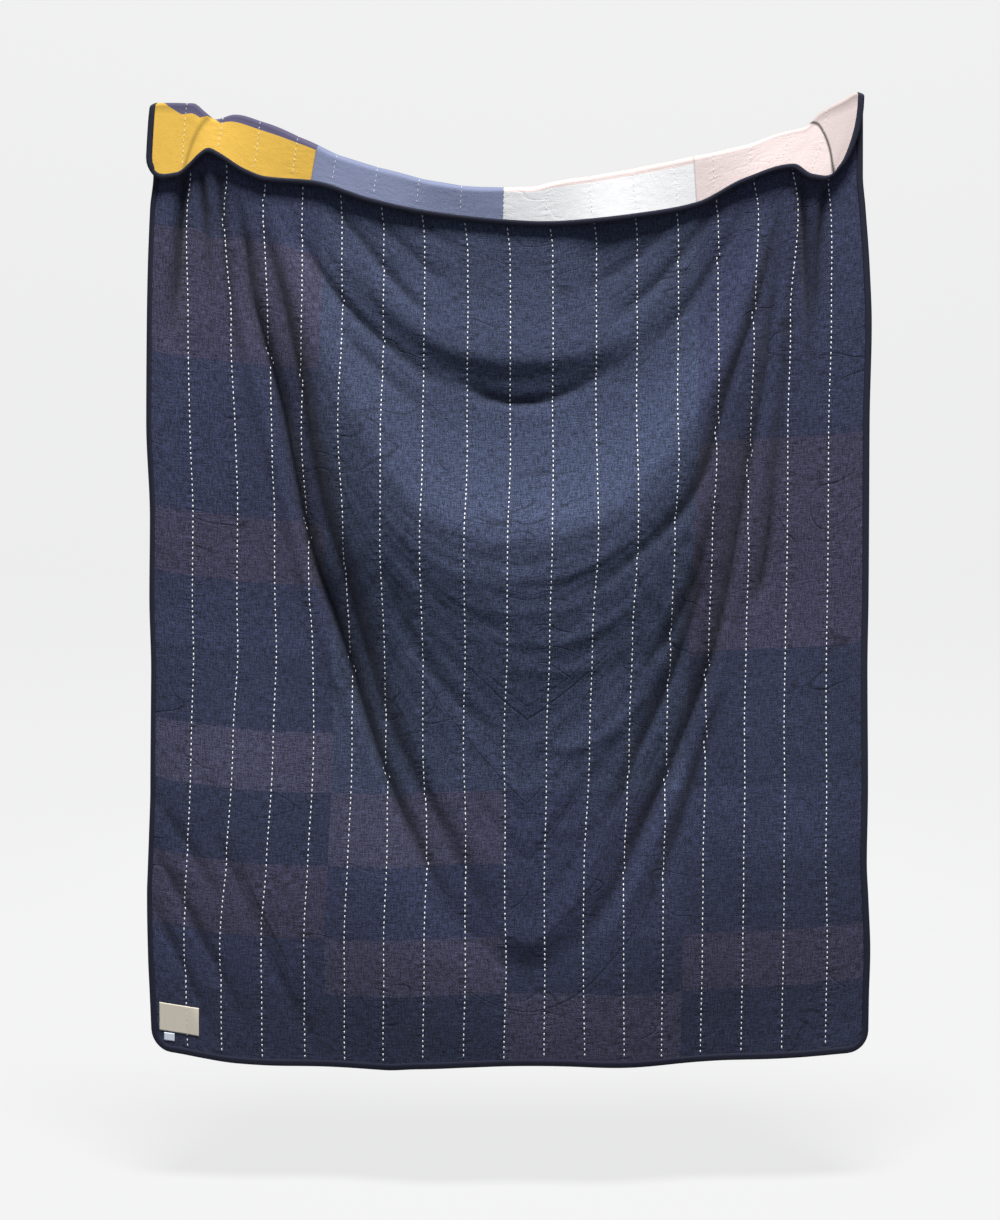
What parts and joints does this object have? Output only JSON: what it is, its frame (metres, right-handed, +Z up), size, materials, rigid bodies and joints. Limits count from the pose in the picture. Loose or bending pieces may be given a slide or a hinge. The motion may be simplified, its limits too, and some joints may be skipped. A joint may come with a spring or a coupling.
{
  "type": "patchwork quilt",
  "caption": "Patchwork quilt hanging by its top edge, the edge folded forward so that a flap of the pieced front shows over the plain dark backing, bound all round.",
  "frame": {"origin": "middle of the folded top edge, on the crest of the fold between the two grips", "axes": "+X to the right as the backing is seen, +Y away from the viewer through the quilt, +Z up along its hanging length"},
  "size_m": [1.3771, 0.1131, 1.8376],
  "materials": {
    "back_cloth": "plain woven cotton, dark indigo",
    "pieced_top": "plain woven cotton patches, mustard, slate blue, cream and pink",
    "binding": "woven cotton tape, near black",
    "maker_label": "woven label, bare cream",
    "care_label": "satin tag, bare white"
  },
  "bodies": {
    "root": {"back_cloth": "back_cloth", "pieced_top": "pieced_top", "binding": "binding", "maker_label": "maker_label", "care_label": "care_label"}
  },
  "joints": []
}
